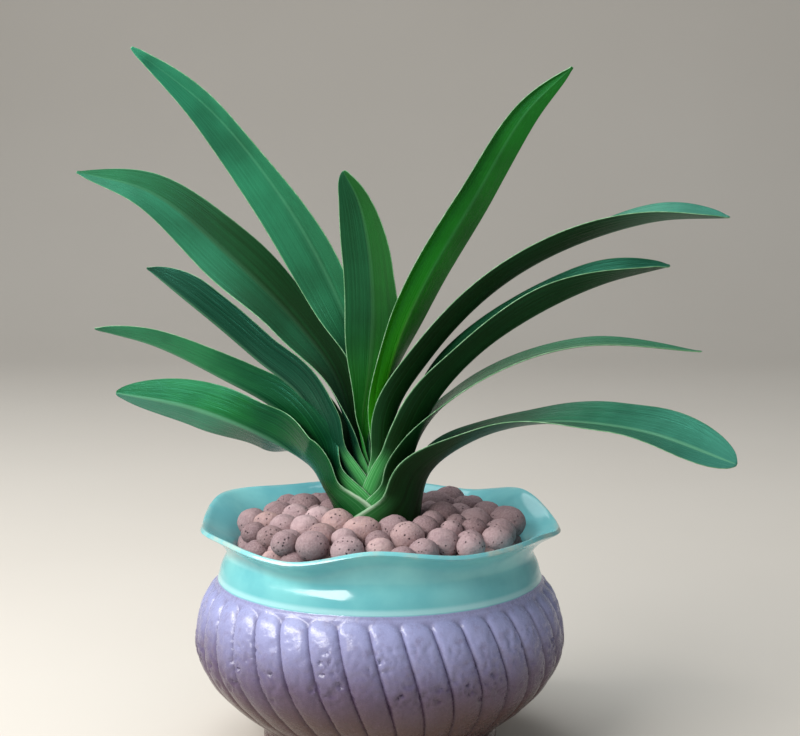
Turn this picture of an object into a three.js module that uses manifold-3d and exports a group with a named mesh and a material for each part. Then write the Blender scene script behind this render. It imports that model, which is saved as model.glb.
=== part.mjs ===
// A potted plant with strap leaves: a glazed pot with a lobed rim and a ribbed
// body, potting mix, a layer of clay pebbles, and eleven leaves that clasp each
// other in two ranks on a short stem. Millimetres, +Z up, the pot's flat base
// on z = 0 with its middle at the origin; the camera side is -Y.
import * as THREE from "three";
import Module from "manifold-3d";

const wasm = await Module();
wasm.setup();

const RAD = Math.PI / 180;
const GAP = 0.35;              // clear space between touching pieces

// ---------------------------------------------------------------- numbers
const RIBS = 36;               // gadroons round the body
const RIB_DEPTH = 2.6;
const RIB_START = 6.4 * RAD;   // turn of the first groove at the shoulder
const RIB_TWIST = 13 * RAD;    // turn of a rib from shoulder to foot
const BODY_FOOT = 14, BODY_TOP = 104;
const FLOOR = 12;              // top of the pot's floor

const STEM_X = -2;             // middle of the stem
const FAN = 22 * RAD;          // turn of the two ranks of leaves about Z
const SHEATH_R = 4, SHEATH_STEP = 2.3, SHEATH_FLAT = 0.75;
const SHEATH_Z = 128;          // lower end of the leaves
const STEM_TOP = 126.8;

const MIX_TOP = 112, BED_R = 86;
const PEBBLES = 62;
const FRONT_PEBBLE = { x: -10, y: -38, r: 9.8, stretch: 1.22, turn: 0.1, lift: 0 };
const bedTop = (r) => 135 + 8 * (1 - (r / BED_R) ** 2);

// ---------------------------------------------------------------- helpers
const clamp = (x, a, b) => Math.min(Math.max(x, a), b);
const smooth = (a, b, x) => {
  const t = clamp((x - a) / (b - a), 0, 1);
  return t * t * (3 - 2 * t);
};

// value at x through [x, value] pairs with smooth steps between them
function knots(x, list) {
  for (let i = 1; i < list.length; i++) {
    if (x <= list[i][0]) {
      const [x0, v0] = list[i - 1], [x1, v1] = list[i];
      return v0 + (v1 - v0) * smooth(x0, x1, x);
    }
  }
  return list[list.length - 1][1];
}

// straight lines through [x, value] pairs
function lines(x, list) {
  for (let i = 1; i < list.length; i++) {
    if (x <= list[i][0]) {
      const [x0, v0] = list[i - 1], [x1, v1] = list[i];
      return v0 + (v1 - v0) * clamp((x - x0) / (x1 - x0), 0, 1);
    }
  }
  return list[list.length - 1][1];
}

// small seeded generator for the pebbles
function random(seed) {
  let s = seed;
  return () => {
    s = (s * 16807) % 2147483647;
    return s / 2147483647;
  };
}

function solidOf(points, faces) {
  let volume = 0;
  for (const [a, b, c] of faces) {
    volume += points[a].dot(new THREE.Vector3().crossVectors(points[b], points[c]));
  }
  const index = faces.flatMap(([a, b, c]) => (volume > 0 ? [a, b, c] : [a, c, b]));
  return new wasm.Manifold(new wasm.Mesh({
    numProp: 3,
    vertProperties: new Float32Array(points.flatMap((p) => [p.x, p.y, p.z])),
    triVerts: new Uint32Array(index),
  }));
}

// closed body from rings of equal length, each end closed on its middle point
function ringSolid(rings) {
  const n = rings[0].length;
  const points = rings.flat();
  const faces = [];
  for (let i = 0; i < rings.length - 1; i++) {
    for (let j = 0; j < n; j++) {
      const a = i * n + j, b = i * n + (j + 1) % n;
      faces.push([a, b, b + n], [a, b + n, a + n]);
    }
  }
  for (const [row, flip] of [[0, true], [rings.length - 1, false]]) {
    const middle = new THREE.Vector3();
    rings[row].forEach((p) => middle.addScaledVector(p, 1 / n));
    points.push(middle);
    const m = points.length - 1;
    for (let j = 0; j < n; j++) {
      const a = row * n + j, b = row * n + (j + 1) % n;
      faces.push(flip ? [m, b, a] : [m, a, b]);
    }
  }
  return solidOf(points, faces);
}

const turned = (profile, segments) => ringSolid(profile.map(([r, z]) =>
  Array.from({ length: segments }, (_, j) => {
    const a = (j / segments) * 2 * Math.PI;
    return new THREE.Vector3(r * Math.cos(a), r * Math.sin(a), z);
  })));

function rod(from, to, r0, r1, sides) {
  const a = new THREE.Vector3(...from), b = new THREE.Vector3(...to);
  const t = b.clone().sub(a).normalize();
  const u = new THREE.Vector3(0, 1, 0).cross(t).normalize();
  const v = t.clone().cross(u);
  const ring = (m, r) => Array.from({ length: sides }, (_, j) => {
    const k = (j / sides) * 2 * Math.PI;
    return m.clone().addScaledVector(u, r * Math.cos(k)).addScaledVector(v, r * Math.sin(k));
  });
  return ringSolid([ring(a, r0), ring(b, r1)]);
}

// merges the slivers that a cut leaves
const tidied = (solid) => solid.asOriginal().simplify(0.03);

function meshOf(solid, name, colour, roughness) {
  const got = solid.getMesh();
  const geometry = new THREE.BufferGeometry();
  const step = got.numProp;
  const xyz = new Float32Array((got.vertProperties.length / step) * 3);
  for (let i = 0; i < xyz.length / 3; i++) {
    for (let k = 0; k < 3; k++) xyz[3 * i + k] = got.vertProperties[i * step + k];
  }
  geometry.setAttribute("position", new THREE.BufferAttribute(xyz, 3));
  geometry.setIndex(new THREE.BufferAttribute(new Uint32Array(got.triVerts), 1));
  geometry.computeVertexNormals();
  const mesh = new THREE.Mesh(geometry,
    new THREE.MeshStandardMaterial({ color: colour, roughness }));
  mesh.name = name;
  return mesh;
}

// ---------------------------------------------------------------- pot
// radius and height up the outside, over the lip and down the inside
const POT_OUTSIDE = [
  [68, 0], [71, 1.5], [71.5, 9], [69.5, 12], [78, 20], [93.5, 33], [106, 48],
  [112.3, 63], [112, 78], [108.5, 91], [104, 99.5], [100, 104], [98.6, 106.5],
  [96.5, 114], [93, 123], [97, 132.5], [103.5, 137.5], [107, 140],
];
const POT_INSIDE = [
  [105.6, 142], [100.5, 139.5], [91.5, 131.5], [87, 121], [91, 108],
  [104, 86], [105.5, 64], [93, 38], [66, 15], [58, FLOOR],
];

// the rim waves unevenly: radius and height of its lip every 30 degrees from +X
const RIM_RADIUS = [110, 105, 107, 106, 107, 115, 109, 106, 107, 104, 107, 106];
const RIM_HEIGHT = [134.5, 146.5, 138.5, 142, 142, 144, 135.5, 137.5, 134.5, 143, 138.5, 139];

function around(values, angle) {
  const x = ((angle / RAD + 720) % 360) / 30;
  const k = Math.floor(x);
  const a = values[k % 12], b = values[(k + 1) % 12];
  return a + (b - a) * smooth(0, 1, x - k);
}

function potPoint(r, z, angle, outside) {
  const lift = smooth(120, 140, z);
  let radius = r + lift * (around(RIM_RADIUS, angle) - 107);
  if (outside) {
    const on = smooth(BODY_FOOT - 2, BODY_FOOT + 14, z) * (1 - smooth(96, BODY_TOP + 1, z));
    const down = (BODY_TOP - z) / (BODY_TOP - BODY_FOOT);
    const phase = (RIBS * (angle - RIB_START - RIB_TWIST * down)) / 2;
    radius -= RIB_DEPTH * on * (1 - Math.abs(Math.sin(phase)));
  }
  return new THREE.Vector3(radius * Math.cos(angle), radius * Math.sin(angle),
    z + lift * (around(RIM_HEIGHT, angle) - 140));
}

function potSolid() {
  const columns = 2 * RIBS;    // one on each crest and one in each groove
  const ring = (outside) => ([r, z]) => Array.from({ length: columns }, (_, j) => {
    const down = clamp((BODY_TOP - z) / (BODY_TOP - BODY_FOOT), 0, 1);
    const turn = RIB_START + (outside ? RIB_TWIST * down : 0);
    return potPoint(r, z, (j / columns) * 2 * Math.PI + turn, outside);
  });
  let pot = ringSolid([...POT_OUTSIDE.map(ring(true)), ...POT_INSIDE.map(ring(false))]);
  for (let i = 0; i < 3; i++) {
    const a = 90 * RAD + i * 120 * RAD;
    const x = 36 * Math.cos(a), y = 36 * Math.sin(a);
    pot = pot.subtract(rod([x, y, -5], [x, y, FLOOR + 5], 6, 6, 12));
  }
  return pot;
}

// inner radius of the pot at a height
const insideRadius = (z) => lines(-z, POT_INSIDE.map(([r, h]) => [-h, r]));

// ---------------------------------------------------------------- leaves
// side: -1 left, +1 right; rank: place in the sheath from the inside out;
// clasp: height at which the two margins leave the front of the sheath;
// wrap: degrees that each margin still reaches round the stem just above that;
// spine: midrib of the blade; roll and fold: degrees at set parts of the blade
const LEAVES = {
  leaf_centre: { side: -1, rank: 0, clasp: 177, width: 17, taper: 0.68, tip: 0.54,
    spine: [[-11, 1, 196], [-6, 1, 235], [-4, -2, 272], [-6, -5, 306], [-12, -6, 334],
      [-21, -8, 352]],
    roll: [-43, -66, -85, -94], fold: [7, 31] },
  leaf_left_1: { side: -1, rank: 1, clasp: 176, width: 20, taper: 0.47, tip: 0.72,
    spine: [[-10, 12, 212], [-17, 21, 249], [-34, 30, 290], [-63, 40, 338],
      [-102, 47, 385], [-153, 52, 425]],
    roll: [-21, -93, -102, -73], fold: [25, 42] },
  leaf_right_1: { side: 1, rank: 2, clasp: 175, width: 15.3, taper: 0.45, tip: 0.72, lip: -60,
    spine: [[2, -5, 207], [10, -10, 246], [27, -15, 286], [55, -20, 335], [85, -27, 386],
      [111, -34, 412]],
    roll: [17, 41, 44, 72], fold: [15, 7] },
  leaf_left_2: { side: -1, rank: 3, clasp: 174.5, width: 20, taper: 0.39, tip: 0.77,
    spine: [[-18, 8, 194], [-28, 15, 227], [-51, 25, 257], [-90, 38, 295], [-141, 54, 335],
      [-191, 68, 348]],
    roll: [-14, -28, -72, -55], fold: [0, 10] },
  leaf_right_2: { side: 1, rank: 4, clasp: 174, width: 17.4, taper: 0.75, tip: 0.72,
    spine: [[8, -5, 202], [31, -13, 242], [66, -26, 281], [105, -41, 307], [156, -56, 325],
      [198, -64, 328]],
    roll: [4, 2, 3, -17], fold: [26, 28] },
  leaf_left_3: { side: -1, rank: 5, clasp: 173.5, width: 19.2, wrap: 82, taper: 0.75, tip: 0.86,
    spine: [[-33, 10, 191], [-50, 15, 215], [-75, 24, 234], [-99, 34, 253],
      [-123, 44, 271], [-146, 52, 289]],
    roll: [22, 37, 45, 50], fold: [42, 31] },
  leaf_right_3: { side: 1, rank: 6, clasp: 173, width: 19.6, wrap: 78, taper: 0.57, tip: 0.72,
    spine: [[19, -8, 182], [34, -15, 215], [58, -24, 244], [89, -36, 268],
      [127, -48, 288], [166, -56, 300]],
    roll: [-8, -17, -8, -32], fold: [43, 48] },
  leaf_left_4: { side: -1, rank: 7, clasp: 158, width: 17.4, wrap: 80, taper: 0.46, tip: 0.72,
    spine: [[-41, 14, 180], [-64, 22, 204], [-100, 32, 223], [-140, 42, 241],
      [-179, 50, 251]],
    roll: [30, 50, 38, 41], fold: [39, 20] },
  leaf_right_4: { side: 1, rank: 8, clasp: 156.5, width: 14.9, wrap: 63, taper: 0.38, tip: 0.86,
    spine: [[20, -10, 182], [34, -16, 209], [68, -25, 235], [119, -38, 252],
      [186, -50, 250]],
    roll: [-12, -13, -8, -7], fold: [1, 12] },
  leaf_left_5: { side: -1, rank: 9, clasp: 151, width: 19.8, wrap: 72, taper: 0.46, tip: 0.59,
    spine: [[-39, 12, 167], [-46, 16, 173], [-75, 22, 189], [-118, 31, 204],
      [-165, 40, 212]],
    roll: [20, 62, 80, 83], fold: [18, 28] },
  leaf_right_5: { side: 1, rank: 10, clasp: 149, width: 19, wrap: 66, taper: 0.75, tip: 0.5,
    spine: [[29, -15, 171], [56, -26, 194], [94, -43, 207], [150, -68, 206],
      [201, -88, 191]],
    roll: [-3, -1, -19, -44], fold: [13, 21] },
};

const LEAF_THICK = 1.1, LEAF_EDGE = 0.65;
const ROWS = 16;
const CELLS = 4;               // strips on each side of the midrib
const WRAP_STEP = 36 * RAD;    // turn of a strip round the sheath, the same in every leaf

const FRONT = new THREE.Vector3(-Math.sin(FAN), -Math.cos(FAN), 0);
const SIDE = new THREE.Vector3(Math.cos(FAN), -Math.sin(FAN), 0);

// cross-section of a leaf at arc length s: points of both faces, back to front
function leafSection(leaf, curve, length, s, swell) {
  const { side } = leaf;
  const radius = SHEATH_R + SHEATH_STEP * leaf.rank;
  const clasp = leaf.clasp - SHEATH_Z, neck = clasp + 8;
  const middle = curve.getPointAt(clamp(s / length, 0, 1));
  const tangent = curve.getPointAt(clamp((s + 1) / length, 0, 1))
    .sub(curve.getPointAt(clamp((s - 1) / length, 0, 1))).normalize();
  const front = FRONT.clone().addScaledVector(tangent, -FRONT.dot(tangent)).normalize();
  const inner = tangent.clone().cross(front).multiplyScalar(-side);
  const wrap = (leaf.wrap ?? 72) * RAD;
  let bend, fold = 0, half, flat = SHEATH_FLAT, lip = 0;
  let x = 0;
  if (s < neck) {
    bend = lines(s, [[0, 144 * RAD], [clasp, 90 * RAD], [neck, wrap]]);
    half = radius * bend + swell;
  } else {
    x = (s - neck) / (length - neck);
    bend = wrap + (8 * RAD - wrap) * smooth(0, 0.3, x);
    fold = knots(x, [[0, 0], [0.3, leaf.fold[0]], [1, leaf.fold[1]]]) * RAD;
    half = radius * wrap + (leaf.width - radius * wrap) * smooth(0, 0.45, x);
    if (x > leaf.taper) {
      half *= Math.max(1 - ((x - leaf.taper) / (1 - leaf.taper)) ** 2, 0) ** leaf.tip;
    }
    half = Math.max(half, 0.9);
    fold *= smooth(0, 5, half);  // the tip opens out flat
    half += swell;
    flat += (1 - flat) * smooth(0, 0.15, x);
    lip = (leaf.lip ?? 0) * RAD * smooth(0, 0.3, x);
  }
  const roll = knots(x, [[0, 0], [0.12, leaf.roll[0]], [0.35, leaf.roll[1]],
    [0.65, leaf.roll[2]], [1, leaf.roll[3]]]) * RAD;
  const across = front.clone().multiplyScalar(Math.cos(roll))
    .addScaledVector(inner, Math.sin(roll));
  const up = inner.clone().multiplyScalar(Math.cos(roll))
    .addScaledVector(front, -Math.sin(roll));
  const slim = 1 - 0.3 * smooth(0.6, 1, x);
  const spread = smooth(0, 0.15, x);
  const faces = [[], []];
  for (let k = -CELLS; k <= CELLS; k++) {
    const way = Math.sign(k), cell = Math.abs(k);
    const wrapped = Math.min(cell * WRAP_STEP, bend - (CELLS - cell) * 2 * RAD) / bend;
    const u = cell && wrapped + (cell / CELLS - wrapped) * spread;
    let slope = fold + bend * u;
    let out = (half * (Math.sin(slope) - Math.sin(fold))) / bend;
    let rise = (half * (Math.cos(fold) - Math.cos(slope))) / bend;
    if (lip && k > 0 && u > 0.6) {
      const start = fold + bend * 0.6;
      slope = start + lip;
      out = (half * (Math.sin(start) - Math.sin(fold))) / bend
        + (u - 0.6) * half * Math.cos(slope);
      rise = (half * (Math.cos(fold) - Math.cos(start))) / bend
        + (u - 0.6) * half * Math.sin(slope);
    }
    const place = middle.clone().addScaledVector(across, way * out * flat)
      .addScaledVector(up, rise);
    const normal = up.clone().multiplyScalar(k ? Math.cos(slope) : 1)
      .addScaledVector(across, -way * Math.sin(slope));
    const thick = (LEAF_THICK + (LEAF_EDGE - LEAF_THICK) * u * u) * slim;
    const depth = Math.max(thick, 0.62) / 2 + swell;
    faces[0].push(place.clone().addScaledVector(normal, depth));
    faces[1].push(place.clone().addScaledVector(normal, -depth));
  }
  return faces;
}

// swell thickens a leaf all round, to keep the next leaf clear of it
function leafSolid(leaf, swell = 0) {
  const radius = SHEATH_R + SHEATH_STEP * leaf.rank;
  const foot = new THREE.Vector3(STEM_X, 0, SHEATH_Z)
    .addScaledVector(SIDE, leaf.side * radius);
  const half = foot.clone().setZ((SHEATH_Z + leaf.clasp + 8) / 2 - 2);
  const curve = new THREE.CatmullRomCurve3(
    [foot, half, ...leaf.spine.map((p) => new THREE.Vector3(...p))], false, "centripetal");
  const length = curve.getLength();
  const neck = leaf.clasp - SHEATH_Z + 8;
  const at = [0, 0.35, 0.7, 1].map((k) => k * neck);
  const count = ROWS - at.length;
  for (let i = 1; i <= count; i++) {
    const k = i / count;
    at.push(neck + (length - neck) * (0.35 * k + 0.65 * (1 - (1 - k) ** 1.6)));
  }
  const points = [], faces = [];
  const n = 2 * CELLS + 1, ring = 2 * n;
  for (const s of at) {
    const [top, under] = leafSection(leaf, curve, length, s, swell);
    points.push(...top, ...under.reverse());
  }
  // both faces of a cell are split along the same, shorter diagonal, so that they
  // stay one thickness apart where the blade twists
  for (let i = 0; i < at.length - 1; i++) {
    for (let j = 0; j < ring; j++) {
      const a = i * ring + j, b = i * ring + (j + 1) % ring;
      const cell = i * ring + clamp(j < n ? j : ring - 2 - j, 0, n - 2);
      const falling = points[cell].distanceTo(points[cell + 1 + ring])
        < points[cell + 1].distanceTo(points[cell + ring]);
      faces.push(...(falling === (j < n - 1)
        ? [[a, b, b + ring], [a, b + ring, a + ring]]
        : [[a, b, a + ring], [b, b + ring, a + ring]]));
    }
  }
  for (const [row, flip] of [[0, true], [at.length - 1, false]]) {
    for (let j = 0; j < n - 1; j++) {
      const a = row * ring + j, b = a + 1;
      const d = row * ring + ring - 1 - j, c = d - 1;
      faces.push(...(flip ? [[b, a, c], [c, a, d]] : [[a, b, c], [a, c, d]]));
    }
  }
  return solidOf(points, faces);
}

// ---------------------------------------------------------------- stem
// ellipse of the sheaths seen from above, with a margin
function stemRing(z, margin) {
  const radius = SHEATH_R + SHEATH_STEP * 10 + margin;
  return Array.from({ length: 20 }, (_, j) => {
    const a = (j / 20) * 2 * Math.PI;
    return new THREE.Vector3(STEM_X, 0, z)
      .addScaledVector(SIDE, radius * Math.cos(a))
      .addScaledVector(FRONT, radius * SHEATH_FLAT * Math.sin(a));
  });
}

const ROOTS = [[0, 30, 44], [1, 22, 60], [2, 34, 50], [3, 24, 38], [4, 36, 56], [5, 28, 46]];

// swell widens the shape all round, for the hollow it sits in
function stemSolid(swell, top) {
  const plate = ringSolid([stemRing(100 - swell, -12 + swell),
    stemRing(112, -3 + swell), stemRing(top, -0.6 + swell)]);
  return ROOTS.reduce((body, [i, out, end]) => {
    const a = (i * 60 + 20) * RAD;
    const x = Math.cos(a), y = Math.sin(a);
    return body.add(rod([STEM_X + 7 * x, 7 * y, 106], [STEM_X + out * x, out * y, end - swell],
      3.4 + swell, 2.2 + swell, 6));
  }, plate);
}

// ---------------------------------------------------------------- filling
function mixSolid() {
  const wall = [15.5, 38, 64, 86, 108, MIX_TOP].map((z) => [insideRadius(z) - GAP - 0.8, z]);
  const plug = turned([[55, FLOOR + GAP], ...wall], 24);
  return plug.subtract(stemSolid(GAP, MIX_TOP + 20));
}

// seeded pebbles: they start on a sunflower spiral and push each other apart,
// held in by the neck of the pot and kept out by the sheaths; the first stays put
function pebbles() {
  const next = random(48611);
  const placed = [{ ...FRONT_PEBBLE }];
  for (let k = 0; k < PEBBLES; k++) {
    const a = k * 137.508 * RAD, d = (BED_R - 6) * Math.sqrt((k + 0.5) / PEBBLES);
    placed.push({
      x: d * Math.cos(a) + 5 * (next() - 0.5), y: d * Math.sin(a) + 5 * (next() - 0.5),
      r: 7.2 + 3.8 * next() ** 1.3, stretch: 1 + 0.16 * next(), turn: next() * Math.PI,
      lift: 4 * next() - 2,
    });
  }
  for (let round = 0; round < 60; round++) {
    for (let i = 0; i < placed.length; i++) {
      for (let j = i + 1; j < placed.length; j++) {
        const p = placed[i], q = placed[j];
        const x = q.x - p.x, y = q.y - p.y, apart = Math.hypot(x, y);
        const push = (0.3 * (p.r + q.r - apart)) / apart;
        if (push > 0) {
          p.x -= push * x; p.y -= push * y;
          q.x += push * x; q.y += push * y;
        }
      }
    }
    placed[0].x = FRONT_PEBBLE.x;
    placed[0].y = FRONT_PEBBLE.y;
    for (const p of placed) {
      const along = (p.x - STEM_X) * SIDE.x + p.y * SIDE.y;
      const ahead = ((p.x - STEM_X) * FRONT.x + p.y * FRONT.y) / SHEATH_FLAT;
      const out = Math.max(1, (29.5 + 1.2 * p.r) / Math.hypot(along, ahead));
      p.x = STEM_X + out * (p.x - STEM_X);
      p.y *= out;
      const held = Math.min(1, (BED_R + 2.5 - p.r) / Math.hypot(p.x, p.y));
      p.x *= held;
      p.y *= held;
    }
  }
  return placed.map((p) => ({ ...p, z: bedTop(Math.hypot(p.x, p.y)) + p.lift }));
}

function pebbleSolid({ x, y, z, r, stretch, turn }) {
  const ball = new THREE.OctahedronGeometry(r, 1).attributes.position;
  const points = [], seen = new Map(), map = [];
  for (let i = 0; i < ball.count; i++) {
    const p = new THREE.Vector3().fromBufferAttribute(ball, i);
    const key = [p.x, p.y, p.z].map((v) => v.toFixed(3)).join();
    if (!seen.has(key)) {
      seen.set(key, points.length);
      p.x *= stretch;
      p.z *= 0.94;
      p.applyAxisAngle(new THREE.Vector3(0, 0, 1), turn);
      points.push(p.add(new THREE.Vector3(x, y, z)));
    }
    map.push(seen.get(key));
  }
  const faces = [];
  for (let i = 0; i < map.length; i += 3) faces.push([map[i], map[i + 1], map[i + 2]]);
  return solidOf(points, faces);
}

function bedSolid() {
  const low = MIX_TOP + GAP;
  const side = [[insideRadius(low) - GAP - 0.8, low], [BED_R - 0.4, 121], [BED_R, 128]];
  let bed = turned([...side, [BED_R, bedTop(BED_R)], [60, bedTop(60)], [24, bedTop(24)]], 32);
  for (const p of pebbles()) bed = bed.add(pebbleSolid(p));
  const hole = ringSolid([stemRing(100, 1 + GAP), stemRing(170, 1 + GAP)]);
  return bed.subtract(hole);
}

// ---------------------------------------------------------------- group
const group = new THREE.Group();
group.add(meshOf(potSolid(), "pot", 0x9a93b5, 0.45));
group.add(meshOf(tidied(mixSolid()), "potting_mix", 0x3a2c22, 0.95));
group.add(meshOf(tidied(bedSolid()), "clay_pebbles", 0xa58079, 0.9));
group.add(meshOf(tidied(stemSolid(0, STEM_TOP)), "stem", 0xd9cfa8, 0.7));
const inner = [];
for (const [name, leaf] of Object.entries(LEAVES).sort((a, b) => a[1].rank - b[1].rank)) {
  // an outer leaf gives way where it presses on one that it clasps
  const whole = inner.reduce((body, other) => body.subtract(other), leafSolid(leaf));
  const largest = whole.decompose().sort((a, b) => b.volume() - a.volume())[0];
  group.add(meshOf(tidied(largest), name, 0x1f7a3c, 0.4));
  inner.push(leafSolid(leaf, 0.3));
}
export default group;
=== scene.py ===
"""A potted plant with strap leaves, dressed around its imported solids.

Metres, +Z up, the pot's flat base on z = 0 with its middle at the origin.
The shapes below are worked out in millimetres and scaled once at the end.
"""
import math

import bmesh
import bpy
from mathutils import Matrix, Vector, noise


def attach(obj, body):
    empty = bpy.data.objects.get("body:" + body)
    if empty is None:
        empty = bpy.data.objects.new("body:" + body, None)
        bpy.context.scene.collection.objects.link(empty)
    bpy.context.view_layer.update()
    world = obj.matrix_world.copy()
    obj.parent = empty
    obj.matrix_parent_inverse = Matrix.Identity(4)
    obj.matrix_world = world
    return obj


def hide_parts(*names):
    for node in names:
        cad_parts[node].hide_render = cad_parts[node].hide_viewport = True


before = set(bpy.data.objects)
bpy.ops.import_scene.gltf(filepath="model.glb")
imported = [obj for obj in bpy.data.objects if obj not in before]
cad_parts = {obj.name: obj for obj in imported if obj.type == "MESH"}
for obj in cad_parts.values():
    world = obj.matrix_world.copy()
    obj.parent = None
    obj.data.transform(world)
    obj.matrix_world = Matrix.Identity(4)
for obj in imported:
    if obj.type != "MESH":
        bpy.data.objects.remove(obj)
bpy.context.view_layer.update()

MM = 0.001
RAD = math.pi / 180

# pot
RIBS = 36
RIB_DEPTH = 2.9
RIB_CREST = 0.42               # place of the crest between two grooves
RIB_START = 6.4 * RAD          # turn of the first groove at the shoulder
RIB_TWIST = 13 * RAD           # turn of a rib from shoulder to foot
BODY_FOOT, BODY_TOP = 14, 104
DENT_DEPTH, SWELL = 1.2, 0.35    # small dents and wide unevenness of the ribs
SHOULDER_LINE, LINE_DEPTH = 104.9, 0.5
GLAZE_EDGE = 106.3             # the teal glaze ends here
LIP_R, LIP_Z = 107, 140        # mean lip, before the rim's waves
FLOOR = 12
DRAIN_HOLES, DRAIN_R, DRAIN_RING = 3, 6, 36
POT_COLUMNS = 16 * RIBS

# plant
STEM_X = -2
FAN = 22 * RAD                 # turn of the two ranks of leaves about Z
SHEATH_R, SHEATH_STEP, SHEATH_FLAT = 4, 2.3, 0.75
SHEATH_Z = 128
NECK = 8                       # from the clasp to where the two margins are apart
LEAF_THICK, LEAF_EDGE, LEAF_LEAST = 1.1, 0.65, 0.62
MIDRIB_THICK = 0.35            # added along the midrib
LEAF_SHELL = 1.5               # thickness at a full weight
LIP_START = 0.6                # part of the half width from which a lip turns back
LEAF_ROWS, LEAF_CELLS = 72, 20

SIDE = Vector((math.cos(FAN), -math.sin(FAN), 0))
FRONT = Vector((-math.sin(FAN), -math.cos(FAN), 0))

# pebbles
BED_R, BED_Z, BED_RISE = 86, 135, 8
PEBBLES, LOWER_PEBBLES = 62, 84
FRONT_PEBBLE = dict(x=-10, y=-38, r=9.8, stretch=1.22, turn=0.1, lift=0)
SHEATHS_OUT = 29.5             # pebbles keep this far from the middle of the sheaths
GOLDEN_TURN = 137.508          # degrees from one pebble to the next on their spiral
SETTLING = 60                  # rounds in which the pebbles push each other apart

# camera
CAMERA_PLACE, LOOK_DOWN, LENS = (0.0123, -1.150, 0.398), 8.15, 86.85


def clamp(x, a, b):
    return min(max(x, a), b)


def smooth(a, b, x):
    t = clamp((x - a) / (b - a), 0, 1)
    return t * t * (3 - 2 * t)


def knots(x, pairs):
    """Value at x through (x, value) pairs, with smooth steps between them."""
    for (x0, v0), (x1, v1) in zip(pairs, pairs[1:]):
        if x <= x1:
            return v0 + (v1 - v0) * smooth(x0, x1, x)
    return pairs[-1][1]


def lines(x, pairs):
    """Value at x through (x, value) pairs, with straight steps between them."""
    for (x0, v0), (x1, v1) in zip(pairs, pairs[1:]):
        if x <= x1:
            return v0 + (v1 - v0) * clamp((x - x0) / (x1 - x0), 0, 1)
    return pairs[-1][1]


def seeded(seed):
    """Small seeded generator, the same one that the solids use."""
    state = seed
    while True:
        state = (state * 16807) % 2147483647
        yield state / 2147483647


def curve_points(points, spacing):
    """Points on a centripetal curve; spacing(place) is about how far apart they are."""
    pts = [Vector(p) for p in points]
    first, last = 2 * pts[0] - pts[1], 2 * pts[-1] - pts[-2]
    pts = [first] + pts + [last]
    out = []
    for p0, p1, p2, p3 in zip(pts, pts[1:], pts[2:], pts[3:]):
        t1 = max((p1 - p0).length, 1e-6) ** 0.5
        t2 = t1 + max((p2 - p1).length, 1e-6) ** 0.5
        t3 = t2 + max((p3 - p2).length, 1e-6) ** 0.5
        steps = max(2, math.ceil((p2 - p1).length / spacing((p1 + p2) / 2)))
        for i in range(steps):
            t = t1 + (t2 - t1) * i / steps
            a1 = p0 * ((t1 - t) / t1) + p1 * (t / t1)
            a2 = p1 * ((t2 - t) / (t2 - t1)) + p2 * ((t - t1) / (t2 - t1))
            a3 = p2 * ((t3 - t) / (t3 - t2)) + p3 * ((t - t2) / (t3 - t2))
            b1 = a1 * ((t2 - t) / t2) + a2 * (t / t2)
            b2 = a2 * ((t3 - t) / (t3 - t1)) + a3 * ((t - t1) / (t3 - t1))
            out.append(b1 * ((t2 - t) / (t2 - t1)) + b2 * ((t - t1) / (t2 - t1)))
    out.append(Vector(points[-1]))
    return out


def finish_piece(name, bm, materials, node, sharp=None):
    """Scales a shape to metres, makes it an object, hangs it on the root and hides the solid it
    stands for.
    """
    bmesh.ops.scale(bm, vec=(MM, MM, MM), verts=bm.verts)
    mesh = bpy.data.meshes.new(name)
    bm.to_mesh(mesh)
    bm.free()
    mesh.polygons.foreach_set("use_smooth", [True] * len(mesh.polygons))
    if sharp:
        mesh.set_sharp_from_angle(angle=sharp)
    piece = bpy.data.objects.new(name, mesh)
    bpy.context.collection.objects.link(piece)
    for material in materials:
        mesh.materials.append(material)
    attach(piece, "root")
    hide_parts(node)
    return piece


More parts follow.
